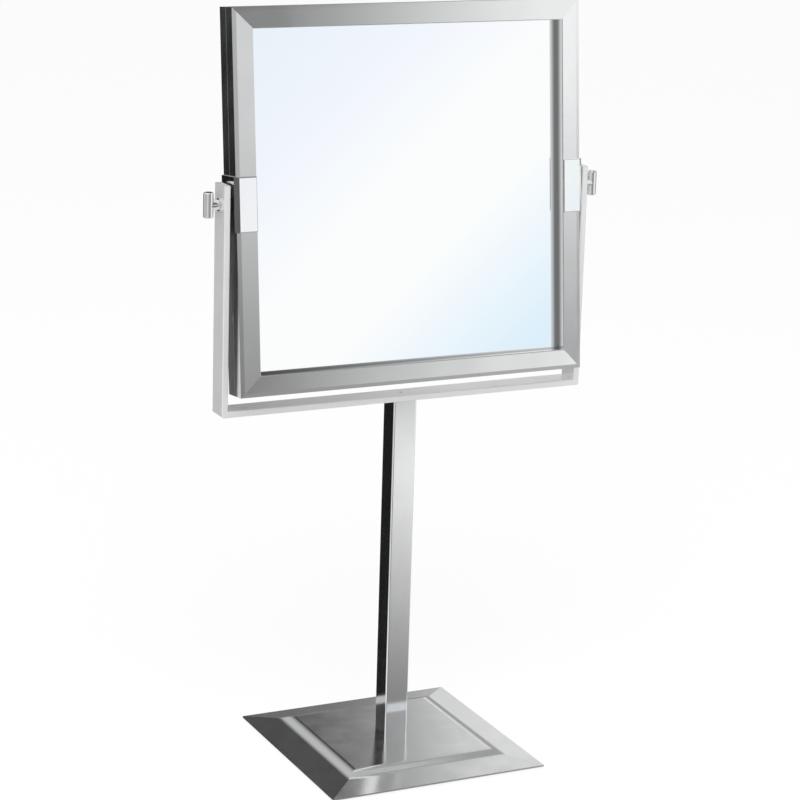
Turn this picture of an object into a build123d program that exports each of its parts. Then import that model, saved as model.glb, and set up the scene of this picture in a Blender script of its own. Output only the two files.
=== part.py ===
"""Free-standing square makeup mirror.

A two-sided square head (plain glass in front, magnifying glass behind) turns
between the arms of a U-shaped yoke of flat bar. The yoke stands on a square
tube post, and the post on a stepped square base.

Units are millimetres. +Z is up, the front of the mirror faces -Y, and the
origin is on the table under the middle of the base.
"""
import os
from math import hypot

from build123d import *

# Base
base_size = 132.0
base_edge = 0.9
base_lift = 0.5
border_rise = 2.5
platform_size = 87.0
platform_wall = 1.2
step_run = 5.5
step_rise = 2.6
step_round = 8.0
ballast_size = 80.0
ballast_fit = 0.2
bottom_cover_size = 108.0
bottom_cover_thickness = 0.6
felt_thickness = 1.2
felt_margin = 0.5

# Post
post_width = 14.0
post_wall = 1.2
post_corner = 0.8
post_length = 201.5
plug_fit = 0.05
plug_length = 16.0
key_width = 8.0
key_height = 0.8

# Screws that hold the post between yoke and base
screw_diameter = 5.0
screw_head_diameter = 10.0
screw_head_height = 2.5
screw_grip = 12.0
socket_width = 3.0
socket_depth = 1.4
thread_fit = 0.05

# Yoke
bar_thickness = 3.5
bar_depth = 14.5
bar_edge = 0.4
bend_radius = 1.2
arm_overrun = 11.0
swing_clearance = 8.4

# Mirror head
head_size = 210.0
member_width = 11.5
side_half_depth = 8.5
edge_bevel_width = 2.2
edge_bevel_rise = 0.6
face_rise = 0.9
lip_break = 0.4
frame_wall = 1.0
seam_relief = 0.3
tongue_length = 3.0
tongue_thickness = 1.0
tongue_fit = 0.05
rest_tilt = 5.6

# Mirror glass and what carries it
glass_recess = 7.5
glass_thickness = 2.0
glass_overlap = 2.5
glass_corner = 5.0
glass_gap = 1.0
magnifier_radius = 1500.0
scribe_fit = 0.1
carrier_fit = 0.25
carrier_opening = 150.0
carrier_rear_rim = 4.5
foam_size = 140.0
foam_corner = 8.0

# Pivots
stud_diameter = 4.0
running_clearance = 0.05
slip_gap = 0.05
flange_size = 9.0
flange_thickness = 1.4
flange_room = 0.4
collar_height = 30.0
collar_web = 1.2
collar_proud = 1.0
collar_fit = 0.05
collar_shoulder = 2.35
collar_chamfer = 0.6
friction_washer_diameter = 6.6
friction_washer_thickness = 1.45
clamp_washer_diameter = 7.0
clamp_washer_thickness = 0.8
knob_hub_diameter = 5.6
knob_hub_length = 2.65
knob_bar_diameter = 5.8
knob_bar_length = 14.0
knob_bar_chamfer = 0.6
knob_bore_depth = 6.4
stud_end_gap = 0.4

# Heights up the stand
border_top = base_lift + base_edge + border_rise
platform_top = border_top + step_rise
post_top = platform_top + post_length
bar_top = post_top + bar_thickness

# Sizes of the head, measured from its middle
head_half = head_size / 2
lip_depth = side_half_depth + edge_bevel_rise + face_rise
opening_half = head_half - member_width
glass_half = opening_half + glass_overlap
glass_front = lip_depth - glass_recess
glass_back = glass_front - glass_thickness
magnifier_back = glass_gap - glass_back
carrier_half = head_half - frame_wall - tongue_fit - tongue_thickness - carrier_fit
swing_radius = hypot(head_half, lip_depth)
pivot_height = bar_top + swing_clearance + swing_radius

# Places along the pivot axis, measured from the middle plane
collar_face = head_half + collar_web
arm_inner = collar_face + slip_gap + friction_washer_thickness
arm_outer = arm_inner + bar_thickness
knob_inner = arm_outer + clamp_washer_thickness + slip_gap
knob_bar_place = knob_inner + knob_hub_length + knob_bar_diameter / 2
bore_radius = stud_diameter / 2 + running_clearance

pivot = Location((0, 0, pivot_height))
lean = Rotation(-rest_tilt, 0, 0)
facing_front = Rotation(90, 0, 0)
facing_rear = Rotation(-90, 0, 0)


def outline(points):
    """A flat face in the XZ plane through the given (x, z) points."""
    return Plane.XZ * make_face(Polyline(*points, close=True))


def square_ring(section, reach):
    """One solid with four mitred sides, from a section drawn on the +X side."""
    wedge_points = [(0, 0), (reach, reach), (reach, -reach)]
    wedge = extrude(make_face(Polyline(*wedge_points, close=True)), reach, both=True)
    side = extrude(section, reach, both=True) & wedge
    ring = side
    for quarter in range(1, 4):
        ring += Rotation(0, 0, 90 * quarter) * side
    return ring


def slab(width, depth, bottom, top):
    """A box centred on the Z axis between two heights."""
    return Location((0, 0, bottom)) * Box(
        width, depth, top - bottom, align=(Align.CENTER, Align.CENTER, Align.MIN)
    )


def along_x(radius, start, end):
    """A cylinder on the X axis between two distances from the middle plane."""
    turned = Location((start, 0, 0)) * Rotation(0, 90, 0)
    return turned * Cylinder(radius, end - start, align=(Align.CENTER, Align.CENTER, Align.MIN))


def block_along_x(height, start, end):
    """A square bar on the X axis between two distances from the middle plane."""
    return Location(((start + end) / 2, 0, 0)) * Box(end - start, height, height)


def both_sides(piece):
    """The piece for the +X side, and the same piece turned round for the -X side."""
    return {"right": piece, "left": Rotation(0, 0, 180) * piece}


def countersunk_screw():
    """A screw with its head face at z = 0 and its shank pointing down."""
    head = Location((0, 0, -screw_head_height / 2)) * Cone(
        screw_diameter / 2, screw_head_diameter / 2, screw_head_height
    )
    shank_length = screw_head_height + screw_grip
    shank = Location((0, 0, -shank_length / 2)) * Cylinder(screw_diameter / 2, shank_length)
    socket = extrude(RegularPolygon(socket_width / 2, 6, major_radius=False), -socket_depth)
    return head + shank - socket


def screw_hole(length):
    """The space that the countersunk screw needs, with its thread clearance."""
    head = Location((0, 0, -screw_head_height / 2)) * Cone(
        screw_diameter / 2 + thread_fit, screw_head_diameter / 2 + thread_fit, screw_head_height
    )
    radius = screw_diameter / 2 + thread_fit
    return head + Location((0, 0, -length / 2)) * Cylinder(radius, length)


# Base plate: a thin sloping border and an ogee step up to the platform
base_half = base_size / 2
platform_half = platform_size / 2
base_section = outline([
    (0, base_lift),
    (base_half, base_lift),
    (base_half, base_lift + base_edge),
    (platform_half + step_run, border_top),
    (platform_half, platform_top),
    (0, platform_top),
])
step_corners = base_section.vertices().filter_by(
    lambda v: platform_half - 0.1 < v.X < platform_half + step_run + 0.1
)
base_section = fillet(step_corners, step_round)
cover_top = felt_thickness + bottom_cover_thickness
ballast_top = platform_top - platform_wall
spigot_hole = key_width + 2 * plug_fit
base_plate = square_ring(base_section, base_size)
base_plate -= slab(bottom_cover_size, bottom_cover_size, 0, cover_top)
base_plate -= slab(ballast_size, ballast_size, 0, ballast_top)
base_plate -= slab(spigot_hole, spigot_hole, 0, platform_top)

# Ballast, closing cover and felt under the platform
ballast_width = ballast_size - 2 * ballast_fit
base_screw_place = Location((0, 0, cover_top)) * Rotation(180, 0, 0)
ballast = slab(ballast_width, ballast_width, cover_top, ballast_top)
ballast -= base_screw_place * screw_hole(screw_grip)
cover_width = bottom_cover_size - 2 * ballast_fit
felt_width = bottom_cover_size - 2 * felt_margin
bottom_cover = slab(cover_width, cover_width, felt_thickness, cover_top)
felt_pad = slab(felt_width, felt_width, 0, felt_thickness)

# Post: a square tube closed by a threaded plug at each end
post_bore = post_width - 2 * post_wall
tube_section = RectangleRounded(post_width, post_width, post_corner)
tube_section -= Rectangle(post_bore, post_bore)
post = Location((0, 0, platform_top)) * extrude(tube_section, post_length)
plug_width = post_bore - 2 * plug_fit
foot_plug = slab(plug_width, plug_width, platform_top, platform_top + plug_length)
foot_plug += slab(key_width, key_width, ballast_top, platform_top)
foot_plug -= base_screw_place * screw_hole(screw_grip + screw_head_height + 1)
head_plug = slab(plug_width, plug_width, post_top - plug_length, post_top)
head_plug += slab(key_width, key_width, post_top, post_top + key_height)
yoke_screw_place = Location((0, 0, bar_top))
head_plug -= yoke_screw_place * screw_hole(screw_grip + screw_head_height + 1)
base_screw = base_screw_place * countersunk_screw()
yoke_screw = yoke_screw_place * countersunk_screw()

# Yoke: flat bar bent to a U, keyed and screwed to the top of the post
arm_top = pivot_height + arm_overrun
yoke_section = outline([
    (-arm_outer, arm_top),
    (-arm_outer, post_top),
    (arm_outer, post_top),
    (arm_outer, arm_top),
    (arm_inner, arm_top),
    (arm_inner, bar_top),
    (-arm_inner, bar_top),
    (-arm_inner, arm_top),
])
outer_bends = yoke_section.vertices().filter_by(lambda v: v.Z < post_top + 0.1)
yoke_section = fillet(outer_bends, bend_radius)
yoke = extrude(yoke_section, bar_depth / 2, both=True)
bar_rims = yoke.faces().filter_by(Axis.Y).edges()
yoke = chamfer(bar_rims, bar_edge)
key_slot = key_width + 2 * plug_fit
yoke -= slab(key_slot, key_slot, post_top, post_top + key_height + plug_fit)
yoke -= yoke_screw_place * screw_hole(bar_thickness + 1)
yoke -= pivot * along_x(bore_radius, -arm_outer, arm_outer)

# Frame halves of the head, drawn lying down with the glass side up
face_edge = side_half_depth + edge_bevel_rise
face_profile = [
    (head_half, seam_relief),
    (head_half, side_half_depth),
    (head_half - edge_bevel_width, face_edge),
    (opening_half + lip_break, lip_depth),
    (opening_half, lip_depth - lip_break),
]
wall_profile = [
    (opening_half + frame_wall, lip_depth - lip_break - frame_wall),
    (head_half - edge_bevel_width, face_edge - frame_wall),
    (head_half - frame_wall, side_half_depth - frame_wall),
    (head_half - frame_wall, 0),
    (head_half - seam_relief, 0),
]
front_section = outline(
    face_profile
    + [(opening_half, glass_front), (opening_half + frame_wall, glass_front)]
    + wall_profile
)
front_frame = square_ring(front_section, head_size)

rear_section = outline(
    face_profile
    + [(opening_half, lip_depth - lip_break - frame_wall)]
    + wall_profile
)
rear_frame = square_ring(rear_section, head_size)

# Balls with the curves of the magnifying glass, their poles turned away from it
magnifier_front = magnifier_back + glass_thickness
magnifier_centre = Location((0, 0, magnifier_front + magnifier_radius))
mirror_ball = magnifier_centre * Rotation(90, 0, 0) * Sphere(magnifier_radius)
glass_back_ball = (
    magnifier_centre * Rotation(90, 0, 0) * Sphere(magnifier_radius + glass_thickness)
)

# The rear frame's inner wall is cut to the curve of that glass, just clear of it
scribing_ball = (
    magnifier_centre * Rotation(90, 0, 0) * Sphere(magnifier_radius - scribe_fit)
)
inner_wall = outline([
    (opening_half, 0),
    (opening_half + frame_wall, 0),
    (opening_half + frame_wall, lip_depth - lip_break - frame_wall / 2),
    (opening_half, lip_depth - lip_break - frame_wall / 2),
])
rear_frame += square_ring(inner_wall, head_size) & scribing_ball

# A tongue on the rear half enters the front half and centres it
tongue_outer = head_half - frame_wall - tongue_fit
tongue_inner = tongue_outer - tongue_thickness
tongue = outline([
    (tongue_inner, -tongue_length),
    (tongue_outer, -tongue_length),
    (tongue_outer, 0),
    (head_half - frame_wall, 0),
    (head_half - frame_wall, tongue_length),
    (tongue_inner, tongue_length),
])
rear_frame += square_ring(tongue, head_size)

front_frame = facing_front * front_frame
rear_frame = facing_rear * rear_frame

# Pivot studs, each held by a square flange behind the frame wall
flange_outer = head_half - frame_wall
flange_inner = flange_outer - flange_thickness
stud = block_along_x(flange_size, flange_inner, flange_outer)
stud += along_x(stud_diameter / 2, flange_outer, knob_inner + knob_bore_depth - stud_end_gap)
studs = both_sides(stud)
flange_pocket = block_along_x(
    flange_size + 2 * flange_room, flange_inner - flange_room, flange_outer
)
stud_bore = along_x(bore_radius, flange_outer, knob_inner + knob_bore_depth)
for side in both_sides(flange_pocket).values():
    rear_frame -= side
for side in both_sides(stud_bore).values():
    front_frame -= side
    rear_frame -= side

# Collars: C-shaped saddles over both frame halves at the pivots
head_profile = [
    (head_half, -side_half_depth),
    (head_half, side_half_depth),
    (head_half - edge_bevel_width, face_edge),
    (opening_half, lip_depth),
    (opening_half - member_width, lip_depth),
    (opening_half - member_width, -lip_depth),
    (opening_half, -lip_depth),
    (head_half - edge_bevel_width, -face_edge),
]
collar_half_depth = lip_depth + collar_proud
collar_section = make_face(Polyline(
    (opening_half, -collar_half_depth),
    (collar_face, -collar_half_depth),
    (collar_face, collar_half_depth),
    (opening_half, collar_half_depth),
    close=True,
))
shoulders = collar_section.vertices().filter_by(lambda v: v.X > head_half)
collar_section = chamfer(shoulders, collar_shoulder)
lip_edges = collar_section.vertices().filter_by(lambda v: v.X < opening_half + collar_chamfer)
collar_section = chamfer(lip_edges, collar_chamfer)
collar_section -= offset(make_face(Polyline(*head_profile, close=True)), collar_fit)
collar = extrude(collar_section, collar_height / 2, both=True)
collar_ends = Plane.YZ * RectangleRounded(2 * collar_half_depth, collar_height, collar_chamfer)
collar &= extrude(collar_ends, head_size)
collar -= stud_bore
collars = both_sides(collar)

# Mirror glass: a flat pane in front, a dished magnifying pane behind
pane = RectangleRounded(2 * glass_half, 2 * glass_half, glass_corner)
front_glass = facing_front * Location((0, 0, glass_back)) * extrude(pane, glass_thickness)
rear_glass = extrude(pane, lip_depth) & glass_back_ball
rear_glass = facing_rear * (rear_glass - mirror_ball)

# Moulded carrier between the panes, with a foam pad in its opening
seat_width = 2 * (glass_half + carrier_fit)
rear_rim = magnifier_back + carrier_rear_rim
carrier = slab(2 * carrier_half, 2 * carrier_half, -glass_front, rear_rim)
carrier -= slab(seat_width, seat_width, -glass_front, -glass_back)
carrier -= slab(carrier_opening, carrier_opening, -glass_front, rear_rim)
carrier -= slab(seat_width, seat_width, -glass_back, rear_rim) & glass_back_ball
for side in both_sides(flange_pocket).values():
    carrier -= side
glass_carrier = facing_rear * carrier
foam = RectangleRounded(foam_size, foam_size, foam_corner)
foam_pad = Location((0, 0, -glass_back)) * extrude(foam, lip_depth)
foam_pad = facing_rear * (foam_pad - glass_back_ball)

# Washers either side of each arm
friction_washer = along_x(friction_washer_diameter / 2, collar_face + slip_gap, arm_inner)
friction_washer -= stud_bore
clamp_washer = along_x(clamp_washer_diameter / 2, arm_outer, knob_inner - slip_gap)
clamp_washer -= stud_bore

# Knobs that clamp the arms: a short round bar across a hub
knob_bar = Location((knob_bar_place, 0, 0)) * Cylinder(knob_bar_diameter / 2, knob_bar_length)
knob_bar = chamfer(knob_bar.edges().filter_by(GeomType.CIRCLE), knob_bar_chamfer)
knob = knob_bar + along_x(knob_hub_diameter / 2, knob_inner, knob_bar_place)
knob -= stud_bore

friction_washers = both_sides(friction_washer)
clamp_washers = both_sides(clamp_washer)
knobs = both_sides(knob)

parts = {
    "base_plate": base_plate,
    "ballast": ballast,
    "bottom_cover": bottom_cover,
    "felt_pad": felt_pad,
    "base_screw": base_screw,
    "post": post,
    "foot_plug": foot_plug,
    "head_plug": head_plug,
    "yoke_screw": yoke_screw,
    "yoke": yoke,
}
leaning = {
    "front_frame": front_frame,
    "rear_frame": rear_frame,
    "front_glass": front_glass,
    "rear_glass": rear_glass,
    "glass_carrier": glass_carrier,
    "foam_pad": foam_pad,
}
for name in ("left", "right"):
    leaning[f"pivot_collar_{name}"] = collars[name]
    leaning[f"pivot_stud_{name}"] = studs[name]
    parts[f"friction_washer_{name}"] = pivot * friction_washers[name]
    parts[f"clamp_washer_{name}"] = pivot * clamp_washers[name]
    parts[f"knob_{name}"] = pivot * knobs[name]
for name, piece in leaning.items():
    parts[name] = pivot * lean * piece

os.makedirs("parts", exist_ok=True)
for name, piece in parts.items():
    export_step(piece, f"parts/{name}.step")
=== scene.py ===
"""Looks of the makeup mirror: finishes, felt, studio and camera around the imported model."""
from math import cos, pi, radians, sin

import bmesh
import bpy
from mathutils import Matrix, Vector, noise


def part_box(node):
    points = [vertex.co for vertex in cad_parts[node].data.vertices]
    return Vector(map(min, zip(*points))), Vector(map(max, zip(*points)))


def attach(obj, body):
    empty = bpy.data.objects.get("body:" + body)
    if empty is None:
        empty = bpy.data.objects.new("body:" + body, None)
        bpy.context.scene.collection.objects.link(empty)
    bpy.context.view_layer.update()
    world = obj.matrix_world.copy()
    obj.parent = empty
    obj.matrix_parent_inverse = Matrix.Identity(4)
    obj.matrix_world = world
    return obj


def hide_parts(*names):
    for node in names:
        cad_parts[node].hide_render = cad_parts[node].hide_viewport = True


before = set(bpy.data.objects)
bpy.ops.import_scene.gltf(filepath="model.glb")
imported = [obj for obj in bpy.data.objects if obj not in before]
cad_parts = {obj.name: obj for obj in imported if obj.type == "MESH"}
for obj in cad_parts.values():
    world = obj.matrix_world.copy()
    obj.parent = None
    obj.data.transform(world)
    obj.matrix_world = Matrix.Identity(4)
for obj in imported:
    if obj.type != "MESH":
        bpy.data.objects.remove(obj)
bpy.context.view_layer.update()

# Camera, as fitted to the edges in the photograph: pixels, degrees and metres
IMAGE_SIDE = 800
FOCAL_PIXELS = 2637.3
AXIS_PIXEL = (384.4, 361.9)
CAMERA_AZIMUTH = 25.62
CAMERA_ELEVATION = 14.04
CAMERA_ROLL = 1.575
CAMERA_DISTANCE = 1.4804
CAMERA_TARGET = Vector((-0.0106, 0.0, 0.230))
SENSOR_MM = 36.0
CLIP_RANGE = (0.01, 100)

# Head and yoke as they stand at rest, in degrees and metres
HEAD_TILT = 5.6
PIVOT_HEIGHT = 0.325375
YOKE_BEND_HEIGHT = 0.2125
BAR_THICKNESS = 0.0035

# Dark shades painted on to match the photograph. Each band is (start, end) in metres.
# Painted shade on the opening's walls just before the front pane: its reach, and the depths where
# it sets in and stops
OPENING_REACH = (0.0940, 0.0944)
PAINTED_SHADE_DEPTH = (-0.0095, -0.0040)
PAINTED_SHADE_END = (0.0, 0.001)
# Painted shade on the inner face of the left arm: its edge, its foot and the left side
ARM_EDGE = 0.0002
ARM_FOOT = (0.2150, 0.2170)
LEFT_HALF = (0.0, 0.01)
# Grey of both painted shades
PAINTED_SHADE_LEVEL = 0.2

# Felt under the base, in metres
FELT_THICKNESS = 0.0012
FELT_CORNER = 0.004
FELT_EDGE = 0.0003
FELT_CORNER_STEPS = 8
FRAY_DEPTH = 0.00008
FRAY_SCALE = 160

# Axes of the shared frame
X, Y, Z = (1, 0, 0), (0, 1, 0), (0, 0, 1)


def add_camera():
    turn, rise, roll = (radians(a) for a in (CAMERA_AZIMUTH, CAMERA_ELEVATION, CAMERA_ROLL))
    back = Vector((-sin(turn) * cos(rise), -cos(turn) * cos(rise), sin(rise)))
    level_right = Vector((cos(turn), -sin(turn), 0))
    level_up = back.cross(level_right)
    right = cos(roll) * level_right + sin(roll) * level_up
    up = cos(roll) * level_up - sin(roll) * level_right
    data = bpy.data.cameras.new("photo_camera")
    data.sensor_width = SENSOR_MM
    data.lens = FOCAL_PIXELS / IMAGE_SIDE * SENSOR_MM
    data.shift_x = (IMAGE_SIDE / 2 - AXIS_PIXEL[0]) / IMAGE_SIDE
    data.shift_y = (AXIS_PIXEL[1] - IMAGE_SIDE / 2) / IMAGE_SIDE
    data.clip_start, data.clip_end = CLIP_RANGE
    camera = bpy.data.objects.new("photo_camera", data)
    bpy.context.scene.collection.objects.link(camera)
    axes = Matrix((right, up, back)).transposed().to_4x4()
    camera.matrix_world = Matrix.Translation(CAMERA_TARGET + back * CAMERA_DISTANCE) @ axes
    bpy.context.scene.camera = camera


class Graph:
    """A node tree with short ways to add and join nodes."""

    def __init__(self, tree):
        self.nodes = tree.nodes
        self.links = tree.links

    def feed(self, socket, value):
        if isinstance(value, bpy.types.NodeSocket):
            self.links.new(value, socket)
        else:
            socket.default_value = value

    def add(self, kind, inputs=(), **settings):
        node = self.nodes.new(kind)
        for key, value in settings.items():
            setattr(node, key, value)
        for key, value in dict(inputs).items():
            self.feed(node.inputs[key], value)
        return node

    def maths(self, operation, a, b=0.0):
        return self.add("ShaderNodeMath", {0: a, 1: b}, operation=operation).outputs[0]

    def dot(self, vector, axis):
        node = self.add("ShaderNodeVectorMath", {0: vector, 1: axis}, operation="DOT_PRODUCT")
        return node.outputs["Value"]

    def product(self, first, *others):
        for other in others:
            first = self.maths("MULTIPLY", first, other)
        return first

    def scaled(self, vector, scale):
        if isinstance(scale, (int, float)):
            scale = (scale, scale, scale)
        inputs = {0: vector, 1: scale}
        return self.add("ShaderNodeVectorMath", inputs, operation="MULTIPLY").outputs[0]

    def span(self, value, low, high, start=0.0, end=1.0, smooth=True):
        inputs = {0: value, 1: low, 2: high, 3: start, 4: end}
        kind = "SMOOTHSTEP" if smooth else "LINEAR"
        return self.add("ShaderNodeMapRange", inputs, interpolation_type=kind).outputs[0]

    def blend(self, factor, a, b):
        node = self.nodes.new("ShaderNodeMix")
        node.data_type = "RGBA"
        self.feed(node.inputs[0], factor)
        self.feed(node.inputs[6], a)
        self.feed(node.inputs[7], b)
        return node.outputs[2]

    def choose(self, factor, a, b):
        node = self.add("ShaderNodeMix", data_type="VECTOR")
        self.feed(node.inputs[0], factor)
        self.feed(node.inputs[4], a)
        self.feed(node.inputs[5], b)
        return node.outputs[1]

    def ramp(self, value, stops):
        node = self.add("ShaderNodeValToRGB", {0: value})
        band = node.color_ramp
        while len(band.elements) < len(stops):
            band.elements.new(0.5)
        for element, (place, colour) in zip(band.elements, stops):
            element.position = place
            element.color = (*colour, 1)
        return node.outputs[0]

    def noise(self, vector, detail=2.0, roughness=0.5):
        inputs = {"Vector": vector, "Scale": 1.0, "Detail": detail, "Roughness": roughness}
        return self.add("ShaderNodeTexNoise", inputs).outputs[0]

    def uneven(self, noise, middle, swing):
        """A value that wanders by the share swing to either side of middle."""
        return self.span(noise, *NOISE_BAND, middle * (1 - swing), middle * (1 + swing))

    def levels(self, value, band, levels, smooth=True):
        """Grey that goes from the first level to the second along a band of a value."""
        before, after = (opaque(grey(level)) for level in levels)
        return self.blend(self.span(value, *band, smooth=smooth), before, after)

    def bump(self, height, distance):
        return self.add("ShaderNodeBump", {"Distance": distance, "Height": height}).outputs[0]

    def place(self):
        return self.nodes.new("ShaderNodeTexCoord").outputs["Object"]


def new_material(name):
    material = bpy.data.materials.new(name)
    material.use_nodes = True
    return material, Graph(material.node_tree), material.node_tree.nodes["Principled BSDF"]


def grey(level):
    return (level, level, level)


def opaque(colour):
    return (*colour, 1)


def tinted(colour, factor):
    return tuple(min(1.0, part * factor) for part in colour)


# Tangents that spread the glints: level across upright bars, steep across level bars
ACROSS_UPRIGHT = (0.7, 0.7, 0.0)
ACROSS_LEVEL = (0.0, 0.7, 0.7)

# Textures: cells per metre, and the depth of each relief in metres
GRAIN_UPRIGHT = (2600, 2600, 30)
GRAIN_LEVEL = (30, 2600, 2600)
GRAIN_RELIEF = 0.000004
GRAIN_CONTRAST = 0.04
GRAIN_ROUGHNESS = 0.02
BAR_CLOUDS = 45
PLATE_CLOUDS = 60
PLATE_SPECKS = 1800
ROLLER_WAVES = 25
ROLLER_RELIEF = 0.000015
GLASS_FILM = 18
FILM_BAND = (0.35, 0.75)
MOULDED_GLOSS = 150
ZINC_SPANGLE = 700
ZINC_MOTTLE = 90
ZINC_RELIEF = 0.00001
IRON_SAND = 900
IRON_CRUST = 70
IRON_RELIEF = 0.00015
FOAM_CELLS = 1400
FOAM_RELIEF = 0.0003
FELT_WARP = 300
FELT_STRANDS = 900
FELT_MAT = 2200
FELT_HAIR_BAND = (0.62, 0.72)
FELT_RELIEF = 0.0002
# Middle part of a noise's range, which is where most of its values lie
NOISE_BAND = (0.3, 0.7)


def head_height(graph, place):
    """Height above the pivot axis, measured up the tilted head."""
    tilt = radians(HEAD_TILT)
    height = graph.dot(place, (0, sin(tilt), cos(tilt)))
    return graph.maths("SUBTRACT", height, PIVOT_HEIGHT * cos(tilt))


def upright_everywhere(graph, place):
    return 1.0


def upright_in_head(graph, place):
    """1 on the head's side members and 0 on its top and bottom ones, split at the mitres."""
    reach = graph.maths("ABSOLUTE", graph.dot(place, X))
    height = graph.maths("ABSOLUTE", head_height(graph, place))
    return graph.maths("GREATER_THAN", reach, height)


def upright_in_yoke(graph, place):
    """1 on the yoke's arms and 0 on its bar."""
    return graph.maths("GREATER_THAN", graph.dot(place, Z), YOKE_BEND_HEIGHT)


def shade_painted_near_glass(graph, place):
    """Painted shade: a dark band on the opening's walls just before the front pane, where the
    recess lies in shade.

    It matches the photograph, and makes up for a pane that is modelled deeper than it looks.
    """
    tilt = radians(HEAD_TILT)
    depth = graph.dot(place, (0, cos(tilt), -sin(tilt)))
    depth = graph.maths("ADD", depth, PIVOT_HEIGHT * sin(tilt))
    height = graph.maths("ABSOLUTE", head_height(graph, place))
    reach = graph.maths("ABSOLUTE", graph.dot(place, X))
    within = graph.span(graph.maths("MAXIMUM", reach, height), *OPENING_REACH, 1.0, 0.0)
    before = graph.span(depth, *PAINTED_SHADE_END, 1.0, 0.0)
    return graph.product(graph.span(depth, *PAINTED_SHADE_DEPTH), before, within)


def shade_painted_inside_arm(graph, place):
    """Dark shade painted on the inner face of the left arm alone, to match the photograph."""
    inner_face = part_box("yoke")[0][0] + BAR_THICKNESS
    sideways = graph.dot(place, X)
    inward = graph.span(sideways, inner_face - ARM_EDGE, inner_face)
    left = graph.span(sideways, *LEFT_HALF, 1.0, 0.0)
    above = graph.span(graph.dot(place, Z), *ARM_FOOT)
    return graph.product(inward, left, above)


def brushed_chrome(name, colour, upright, roughness, spread, painted_shade=None):
    """Chrome over a brushed bar: fine grain along each bar and a faint cloudiness from wiping."""
    material, graph, shader = new_material(name)
    place = graph.place()
    standing = upright(graph, place)
    grain_place = graph.scaled(place, graph.choose(standing, GRAIN_LEVEL, GRAIN_UPRIGHT))
    grain = graph.noise(grain_place, detail=3.0, roughness=0.6)
    clouds = graph.noise(graph.scaled(place, BAR_CLOUDS), detail=4.0, roughness=0.55)
    across = graph.choose(standing, ACROSS_LEVEL, ACROSS_UPRIGHT)
    spaces = {"vector_type": "VECTOR", "convert_from": "OBJECT", "convert_to": "WORLD"}
    turned = graph.add("ShaderNodeVectorTransform", {0: across}, **spaces)
    dull = tinted(colour, 1 - GRAIN_CONTRAST)
    pale = tinted(colour, 1 + GRAIN_CONTRAST)
    shade = graph.blend(grain, opaque(dull), opaque(pale))
    # Painted shade: where the given mask is 1, the colour goes over to a dark grey
    if painted_shade:
        shade = graph.blend(painted_shade(graph, place), shade, opaque(grey(PAINTED_SHADE_LEVEL)))
    graph.feed(shader.inputs["Base Color"], shade)
    shader.inputs["Metallic"].default_value = 1
    rough = graph.uneven(clouds, roughness, 0.1)
    rough = graph.maths("ADD", rough, graph.product(grain, GRAIN_ROUGHNESS))
    graph.feed(shader.inputs["Roughness"], rough)
    shader.inputs["Anisotropic"].default_value = spread
    graph.feed(shader.inputs["Tangent"], turned.outputs[0])
    graph.feed(shader.inputs["Normal"], graph.bump(grain, GRAIN_RELIEF))
    return material


def polished_chrome(name, colour, roughness):
    """Bright chrome plate: a trace of roller waviness under it and faint wipe marks on it."""
    material, graph, shader = new_material(name)
    place = graph.place()
    clouds = graph.noise(graph.scaled(place, PLATE_CLOUDS), detail=4.0, roughness=0.6)
    waves = graph.noise(graph.scaled(place, ROLLER_WAVES), detail=1.0)
    specks = graph.noise(graph.scaled(place, PLATE_SPECKS))
    shade = graph.blend(specks, opaque(tinted(colour, 0.97)), opaque(colour))
    graph.feed(shader.inputs["Base Color"], shade)
    shader.inputs["Metallic"].default_value = 1
    graph.feed(shader.inputs["Roughness"], graph.uneven(clouds, roughness, 0.15))
    graph.feed(shader.inputs["Normal"], graph.bump(waves, ROLLER_RELIEF))
    return material


def mirror_glass(name, tint, haze):
    """Silvered float glass: a clean mirror with the glass's pale cast and the faintest film."""
    material, graph, shader = new_material(name)
    film = graph.noise(graph.scaled(graph.place(), GLASS_FILM), detail=5.0, roughness=0.6)
    shade = graph.blend(film, opaque(tinted(tint, 0.985)), opaque(tint))
    graph.feed(shader.inputs["Base Color"], shade)
    shader.inputs["Metallic"].default_value = 1
    graph.feed(shader.inputs["Roughness"], graph.span(film, *FILM_BAND, 0.0, haze))
    return material


def moulded(name, colour, roughness, pebble, relief):
    """Moulded plastic with a fine eroded texture and slight unevenness of gloss."""
    material, graph, shader = new_material(name)
    place = graph.place()
    fine = graph.noise(graph.scaled(place, pebble), detail=3.0)
    broad = graph.noise(graph.scaled(place, MOULDED_GLOSS), detail=3.0)
    shade = graph.blend(fine, opaque(colour), opaque(tinted(colour, 1.35)))
    graph.feed(shader.inputs["Base Color"], shade)
    graph.feed(shader.inputs["Roughness"], graph.uneven(broad, roughness, 0.15))
    graph.feed(shader.inputs["Normal"], graph.bump(fine, relief))
    return material


def cell_depth(graph, place, scale):
    """Distance from the middle of each cell of a Voronoi pattern."""
    inputs = {"Vector": graph.scaled(place, scale), "Scale": 1.0}
    return graph.add("ShaderNodeTexVoronoi", inputs).outputs["Distance"]


def plated_steel(name, colour, roughness):
    """Zinc-plated steel: dull metal with a fine crystalline mottle."""
    material, graph, shader = new_material(name)
    place = graph.place()
    cells = cell_depth(graph, place, ZINC_SPANGLE)
    mottle = graph.noise(graph.scaled(place, ZINC_MOTTLE), detail=4.0)
    shade = graph.blend(cells, opaque(colour), opaque(tinted(colour, 0.8)))
    shade = graph.blend(mottle, shade, opaque(tinted(colour, 1.1)))
    graph.feed(shader.inputs["Base Color"], shade)
    shader.inputs["Metallic"].default_value = 1
    graph.feed(shader.inputs["Roughness"], graph.uneven(mottle, roughness, 0.2))
    graph.feed(shader.inputs["Normal"], graph.bump(cells, ZINC_RELIEF))
    return material


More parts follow.
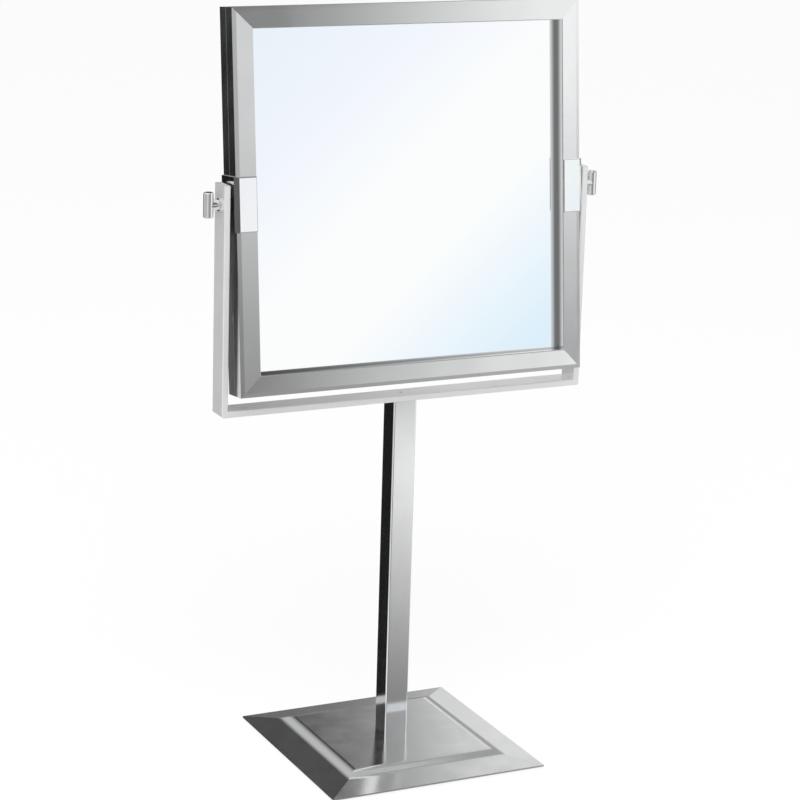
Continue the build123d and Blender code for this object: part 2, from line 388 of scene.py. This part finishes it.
def cast_iron():
    """Rough sand-cast iron with a thin brown crust in places."""
    material, graph, shader = new_material("cast_iron")
    place = graph.place()
    sand = graph.noise(graph.scaled(place, IRON_SAND), detail=5.0, roughness=0.65)
    crust = graph.noise(graph.scaled(place, IRON_CRUST), detail=4.0)
    shade = graph.blend(crust, (0.045, 0.043, 0.041, 1), (0.10, 0.085, 0.075, 1))
    graph.feed(shader.inputs["Base Color"], shade)
    shader.inputs["Metallic"].default_value = 0.6
    graph.feed(shader.inputs["Roughness"], graph.span(sand, *NOISE_BAND, 0.55, 0.8))
    graph.feed(shader.inputs["Normal"], graph.bump(sand, IRON_RELIEF))
    return material


def open_foam():
    """Open-celled grey foam."""
    material, graph, shader = new_material("open_foam")
    depth = cell_depth(graph, graph.place(), FOAM_CELLS)
    # Painted shade: the middle of each cell, where the bump makes a hollow, is darker than the
    # foam's own grey
    shade = graph.blend(depth, (0.055, 0.057, 0.06, 1), (0.2, 0.2, 0.21, 1))
    graph.feed(shader.inputs["Base Color"], shade)
    shader.inputs["Roughness"].default_value = 0.95
    graph.feed(shader.inputs["Normal"], graph.bump(depth, FOAM_RELIEF))
    return material


def wool_felt():
    """Pressed felt: matted fibres in every direction, a fuzz over them and a few paler hairs."""
    material, graph, shader = new_material("wool_felt")
    place = graph.place()
    inputs = {"Vector": graph.scaled(place, FELT_WARP), "Scale": 1.0}
    warp = graph.scaled(graph.add("ShaderNodeTexNoise", inputs).outputs[1], 4)
    inputs = {0: graph.scaled(place, FELT_STRANDS), 1: warp}
    bent = graph.add("ShaderNodeVectorMath", inputs, operation="ADD").outputs[0]
    inputs = {"Vector": bent, "Scale": 0.35, "Distortion": 9.0, "Detail": 4.0}
    fibres = graph.add("ShaderNodeTexWave", inputs).outputs[1]
    mat = graph.noise(graph.scaled(place, FELT_MAT), detail=4.0, roughness=0.7)
    pile = graph.maths("ADD", graph.product(fibres, 0.5), mat)
    shade = graph.blend(fibres, (0.012, 0.012, 0.013, 1), (0.03, 0.03, 0.032, 1))
    shade = graph.blend(graph.span(mat, *FELT_HAIR_BAND), shade, (0.075, 0.075, 0.078, 1))
    graph.feed(shader.inputs["Base Color"], shade)
    shader.inputs["Roughness"].default_value = 1.0
    shader.inputs["Sheen Weight"].default_value = 0.4
    shader.inputs["Sheen Roughness"].default_value = 0.5
    graph.feed(shader.inputs["Normal"], graph.bump(pile, FELT_RELIEF))
    return material


def rounded_square(half, corner, steps):
    """Points round a square with rounded corners."""
    points = []
    for turn, (sx, sy) in enumerate(((1, 1), (-1, 1), (-1, -1), (1, -1))):
        centre = Vector((sx * (half - corner), sy * (half - corner)))
        for step in range(steps + 1):
            angle = pi / 2 * (turn + step / steps)
            points.append(centre + corner * Vector((cos(angle), sin(angle))))
    return points


def add_felt():
    """The felt pad: a flat sheet with soft edges and a slightly uneven cut line."""
    low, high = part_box("felt_pad")
    half = (high[0] - low[0]) / 2
    rings = []
    mesh = bmesh.new()
    levels = [(FELT_EDGE * 4, 0.0), (FELT_EDGE, 0.0), (0.0, FELT_EDGE / FELT_THICKNESS)]
    levels += [(0.0, 1 - FELT_EDGE / FELT_THICKNESS), (FELT_EDGE, 1.0), (FELT_EDGE * 4, 1.0)]
    for inset, share in levels:
        ring = []
        for point in rounded_square(half - inset, FELT_CORNER, FELT_CORNER_STEPS):
            fray = FRAY_DEPTH * (noise.noise(Vector((*point, 0.0)) * FRAY_SCALE) - 1)
            place = point * (1 + fray / half)
            ring.append(mesh.verts.new((place.x, place.y, low[2] + share * FELT_THICKNESS)))
        rings.append(ring)
    count = len(rings[0])
    for inner, outer in zip(rings, rings[1:]):
        for i in range(count):
            j = (i + 1) % count
            mesh.faces.new((inner[i], inner[j], outer[j], outer[i]))
    mesh.faces.new(list(reversed(rings[0])))
    mesh.faces.new(rings[-1])
    bmesh.ops.recalc_face_normals(mesh, faces=mesh.faces)
    data = bpy.data.meshes.new("felt_sheet")
    mesh.to_mesh(data)
    mesh.free()
    for face in data.polygons:
        face.use_smooth = len(face.vertices) == 4
    felt = bpy.data.objects.new("felt_sheet", data)
    bpy.context.scene.collection.objects.link(felt)
    felt.data.materials.append(wool_felt())
    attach(felt, "stand")
    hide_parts("felt_pad")


# Base colours of the metals, mirrors and plastics
CHROME = (0.90, 0.905, 0.91)
POST_CHROME = (0.92, 0.925, 0.93)
SATIN_SILVER = (0.97, 0.973, 0.977)
COLLAR_CHROME = (0.965, 0.955, 0.935)
KNOB_CHROME = (0.84, 0.845, 0.85)
STUD_STEEL = (0.80, 0.80, 0.80)
ZINC = (0.62, 0.63, 0.64)
PLASTIC = (0.02, 0.02, 0.021)
NYLON = (0.025, 0.025, 0.026)
PLAIN_TINT = (0.97, 0.985, 0.99)
MAGNIFYING_TINT = (0.965, 0.98, 0.985)
MIRROR_HAZE = 0.03
# Less than a real metal's 1, which keeps the yoke as pale as in the photograph
YOKE_METALLIC = 0.4


def dress():
    """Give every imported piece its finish."""
    # The head gets painted shade on the opening's walls just before the front pane
    head = brushed_chrome(
        "head_chrome", CHROME, upright_in_head, roughness=0.14, spread=0.5, painted_shade=shade_painted_near_glass
    )
    post = brushed_chrome(
        "post_chrome", POST_CHROME, upright_everywhere, roughness=0.09, spread=0.3
    )
    # The yoke gets painted shade on the inner face of its left arm
    yoke = brushed_chrome(
        "yoke_satin", SATIN_SILVER, upright_in_yoke, roughness=0.30, spread=0.4, painted_shade=shade_painted_inside_arm
    )
    yoke.node_tree.nodes["Principled BSDF"].inputs["Metallic"].default_value = YOKE_METALLIC
    collar = brushed_chrome(
        "collar_chrome", COLLAR_CHROME, upright_everywhere, roughness=0.10, spread=0.3
    )
    base = polished_chrome("base_chrome", CHROME, roughness=0.18)
    knob = polished_chrome("knob_chrome", KNOB_CHROME, roughness=0.12)
    steel = polished_chrome("stud_steel", STUD_STEEL, roughness=0.22)
    zinc = plated_steel("zinc_steel", ZINC, roughness=0.35)
    plain = mirror_glass("plain_mirror", PLAIN_TINT, MIRROR_HAZE)
    magnifying = mirror_glass("magnifying_mirror", MAGNIFYING_TINT, MIRROR_HAZE)
    plastic = moulded("black_plastic", PLASTIC, roughness=0.45, pebble=2500, relief=0.00002)
    nylon = moulded("black_nylon", NYLON, roughness=0.35, pebble=1600, relief=0.00001)
    finishes = {
        "base_plate": base,
        "post": post,
        "yoke": yoke,
        "front_frame": head,
        "rear_frame": head,
        "pivot_collar_left": collar,
        "pivot_collar_right": collar,
        "knob_left": knob,
        "knob_right": knob,
        "clamp_washer_left": steel,
        "clamp_washer_right": steel,
        "pivot_stud_left": steel,
        "pivot_stud_right": steel,
        "friction_washer_left": nylon,
        "friction_washer_right": nylon,
        "front_glass": plain,
        "rear_glass": magnifying,
        "glass_carrier": plastic,
        "head_plug": plastic,
        "foot_plug": plastic,
        "foam_pad": open_foam(),
        "ballast": cast_iron(),
        "bottom_cover": zinc,
        "base_screw": zinc,
        "yoke_screw": yoke,
        "felt_pad": plastic,
    }
    for name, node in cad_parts.items():
        for slot in node.material_slots:
            slot.material = finishes[name]


# What metal and mirrors reflect, as grey levels by direction, fitted to the photograph's
# reflections. x, y and z are the parts of a unit direction, a band is (start, end) along one of
# them, and a pair of levels is what is seen before and after the band.
WALL_BAND, WALL_LEVELS = (-0.2, 0.8), (0.72, 1.0)
TABLE_BAND, TABLE_LEVELS = (-0.7, 0.7), (0.95, 0.50)
TABLE_TOP = (-0.38, -0.30)
BEHIND_X, BEHIND_Y, BEHIND_Z = (-0.2, -0.1), (0.05, 0.2), (-0.22, -0.12)
BACK_FOOT, BACK_FOOT_LEVEL = (0.075, 0.10), 0.34
BEFORE_X, BEFORE_Y = (-0.5, -0.25), (-0.5, -0.2)
# The belt at eye height in front: (start, end, share at start, share at end)
BELT_RISE = (-0.08, 0.03, 0.33, 1.05)
BELT_SIDE = (-0.25, 0.6, 0.38, 1.0)
BELT_HALF = (0.10, 0.16)
# The front below the belt
LOW_TOP = (-0.270, -0.255)
LOW_BAND, LOW_LEVELS = (-0.36, -0.28), (0.24, 1.0)
LOW_SIDE, LOW_SIDE_LEVEL = (0.37, 0.41), 0.16
NEAR_FLOOR_TOP = (-0.50, -0.42)
NEAR_FLOOR_BAND, NEAR_FLOOR_LEVELS = (0.36, 0.47), (0.27, 0.5)
NEAR_TABLE_TOP = (-0.72, -0.60)
# Flags: (direction, full within, gone beyond, level), angles in degrees
FLAGS = (
    ((-0.42, 0.90, -0.16), 9, 15, 0.17),
    ((-0.35, 0.90, -0.27), 9, 15, 0.01),
    ((-0.40, 0.84, 0.36), 8, 14, 0.01),
    ((-0.92, -0.38, -0.05), 6, 11, 0.1),
    ((-0.98, 0.10, -0.10), 8, 14, 0.40),
    ((0.90, 0.37, -0.24), 3, 6, 0.08),
    ((0.25, 0.93, -0.26), 12, 22, 0.22),
    ((0.95, 0.15, -0.26), 7, 13, 0.35),
    ((-0.75, 0.60, 0.15), 14, 24, 0.30),
    ((0.43, 0.08, 0.90), 18, 26, 0.36),
)
# Level of the studio in front of and behind the object, against the sideways part of a direction
FRONT_STOPS = (
    (0.0, 0.45),
    (0.30, 0.10),
    (0.38, 0.12),
    (0.40, 0.26),
    (0.42, 0.43),
    (0.45, 0.74),
    (0.47, 0.98),
    (0.52, 1.0),
)
BACK_STOPS = (
    (-0.10, 0.55),
    (0.0, 0.47),
    (0.13, 0.22),
    (0.20, 0.05),
    (0.26, 0.07),
    (0.37, 0.07),
    (0.39, 0.10),
    (0.40, 0.16),
    (0.41, 0.33),
    (0.42, 0.60),
    (0.43, 0.84),
    (0.44, 0.92),
    (0.51, 0.66),
    (0.54, 0.86),
    (0.57, 0.50),
    (0.65, 0.80),
    (0.74, 0.45),
    (0.84, 0.45),
    (0.92, 0.85),
)
# Window that the front pane reflects: x, z, half width, half height, and its slanting gradient
GLASS_WINDOW = (0.44, 0.02, 0.10, 0.09)
WINDOW_SOFTNESS = 0.03
SLANT_SHIFT = 0.035
SLANT_BAND = (-0.18, 0.18)
GLASS_STOPS = (
    (0.28, (0.74, 0.88, 0.98)),
    (0.46, (1, 1, 1)),
    (0.58, (1, 1, 1)),
    (0.73, (0.90, 0.925, 1.0)),
    (0.90, (0.83, 0.905, 0.945)),
)

# Light and floor: levels, metres and watts
AMBIENT_LEVEL = 0.8
FLOOR_SIZE = 30
FLOOR_GAP = 0.0001
PAPER_CELLS = 40
PAPER_LEVELS = (0.84, 0.86)
# The camera sees a darker paper with a glow, which together are white but keep the shadow
SEEN_PAPER_LEVEL = 0.35
SEEN_PAPER_GLOW = 0.68
LAMP_SIZE = 1.6
LAMP_WATTS = 14
LAMP_PLACE = (-0.7, -1.3, 2.0)
LAMP_AIM = Vector((0, 0, 0.2))


def side_ramp(graph, sideways, stops):
    """Grey levels against x, whose stops run from -1 to 1."""
    return graph.ramp(sideways, [((x + 1) / 2, grey(level)) for x, level in stops])


def studio_walls(graph, direction, x, y, z, sideways, table):
    """Pale walls over the table, the levels behind the object, and the dark flags."""
    walls = graph.levels(z, WALL_BAND, WALL_LEVELS)
    walls = graph.blend(graph.span(z, *TABLE_TOP), table, walls)
    back = side_ramp(graph, sideways, BACK_STOPS)
    back = graph.blend(graph.span(z, *BACK_FOOT), opaque(grey(BACK_FOOT_LEVEL)), back)
    behind = graph.product(
        graph.span(y, *BEHIND_Y), graph.span(x, *BEHIND_X), graph.span(z, *BEHIND_Z)
    )
    walls = graph.blend(behind, walls, back)
    for aim, full, gone, level in FLAGS:
        nearness = graph.dot(direction, Vector(aim).normalized())
        covered = graph.span(nearness, cos(radians(gone)), cos(radians(full)))
        walls = graph.blend(covered, walls, opaque(grey(level)))
    return walls


def studio_front(graph, x, z, sideways, table):
    """The levels in front of the object: a belt at eye height and darker steps below it."""
    front = side_ramp(graph, sideways, FRONT_STOPS)
    rise = graph.span(z, *BELT_RISE, smooth=False)
    fall = graph.product(rise, graph.span(x, *BELT_SIDE, smooth=False))
    belt = graph.blend(fall, opaque(grey(0.0)), opaque(grey(1.0)))
    front = graph.blend(graph.span(graph.maths("ABSOLUTE", z), *BELT_HALF), belt, front)
    low = graph.levels(z, LOW_BAND, LOW_LEVELS, smooth=False)
    low = graph.blend(graph.span(x, *LOW_SIDE), opaque(grey(LOW_SIDE_LEVEL)), low)
    floor = graph.levels(x, NEAR_FLOOR_BAND, NEAR_FLOOR_LEVELS, smooth=False)
    low = graph.blend(graph.span(z, *NEAR_FLOOR_TOP), floor, low)
    low = graph.blend(graph.span(z, *NEAR_TABLE_TOP), table, low)
    return graph.blend(graph.span(z, *LOW_TOP), low, front)


def with_window(graph, x, z, front):
    """The front with the softly coloured window that the front pane reflects."""
    right, level, wide, tall = GLASS_WINDOW
    aside = graph.maths("SUBTRACT", x, right)
    above = graph.maths("SUBTRACT", z, level)
    slant = graph.maths("ADD", graph.maths("SUBTRACT", above, aside), SLANT_SHIFT)
    pane = graph.ramp(graph.span(slant, *SLANT_BAND, smooth=False), GLASS_STOPS)
    inside = graph.product(*(
        graph.span(graph.maths("ABSOLUTE", off), half, half + WINDOW_SOFTNESS, 1.0, 0.0)
        for off, half in ((aside, wide), (above, tall))
    ))
    return graph.blend(inside, front, pane)


def glossy_surroundings(graph, direction):
    """The whole studio as metal and mirrors see it."""
    x, y, z = (graph.dot(direction, axis) for axis in (X, Y, Z))
    sideways = graph.span(x, -1, 1, smooth=False)
    table = graph.levels(x, TABLE_BAND, TABLE_LEVELS)
    walls = studio_walls(graph, direction, x, y, z, sideways, table)
    front = with_window(graph, x, z, studio_front(graph, x, z, sideways, table))
    before = graph.product(graph.span(y, *BEFORE_Y, 1.0, 0.0), graph.span(x, *BEFORE_X))
    return graph.blend(before, walls, front)


def add_world():
    """White to the camera, a plain grey to matt surfaces, and the studio to glossy ones."""
    world = bpy.data.worlds.new("studio")
    bpy.context.scene.world = world
    world.use_nodes = True
    graph = Graph(world.node_tree)
    direction = graph.nodes.new("ShaderNodeTexCoord").outputs["Generated"]
    rays = graph.nodes.new("ShaderNodeLightPath").outputs
    studio = glossy_surroundings(graph, direction)
    ambient = graph.blend(rays["Is Glossy Ray"], opaque(grey(AMBIENT_LEVEL)), studio)
    seen = graph.maths("MAXIMUM", rays["Is Camera Ray"], rays["Is Transmission Ray"])
    light = graph.blend(seen, ambient, opaque(grey(1.0)))
    graph.feed(graph.nodes["Background"].inputs["Color"], light)


def add_floor():
    bpy.ops.mesh.primitive_plane_add(size=FLOOR_SIZE, location=(0, 0, -FLOOR_GAP))
    floor = bpy.context.object
    floor.name = "floor"
    floor.visible_glossy = False
    material, graph, shader = new_material("paper_floor")
    seen = graph.nodes.new("ShaderNodeLightPath").outputs["Is Camera Ray"]
    paper = graph.noise(graph.scaled(graph.place(), PAPER_CELLS), detail=4.0)
    tone = graph.blend(paper, *(opaque(grey(level)) for level in PAPER_LEVELS))
    tone = graph.blend(seen, tone, opaque(grey(SEEN_PAPER_LEVEL)))
    matt = graph.add("ShaderNodeBsdfDiffuse", {"Color": tone})
    strength = graph.product(seen, SEEN_PAPER_GLOW)
    glow = graph.add("ShaderNodeEmission", {"Color": opaque(grey(1.0)), "Strength": strength})
    both = graph.add("ShaderNodeAddShader")
    graph.links.new(matt.outputs[0], both.inputs[0])
    graph.links.new(glow.outputs[0], both.inputs[1])
    graph.links.new(both.outputs[0], graph.nodes["Material Output"].inputs["Surface"])
    graph.nodes.remove(shader)
    floor.data.materials.append(material)


def add_softbox():
    lamp = bpy.data.lights.new("softbox", "AREA")
    lamp.size = LAMP_SIZE
    lamp.energy = LAMP_WATTS
    softbox = bpy.data.objects.new("softbox", lamp)
    softbox.location = LAMP_PLACE
    softbox.rotation_euler = (LAMP_AIM - softbox.location).to_track_quat("-Z", "Y").to_euler()
    softbox.visible_glossy = False
    bpy.context.scene.collection.objects.link(softbox)


add_camera()
dress()
add_felt()
add_world()
add_floor()
add_softbox()

bpy.context.scene.view_settings.view_transform = "Standard"
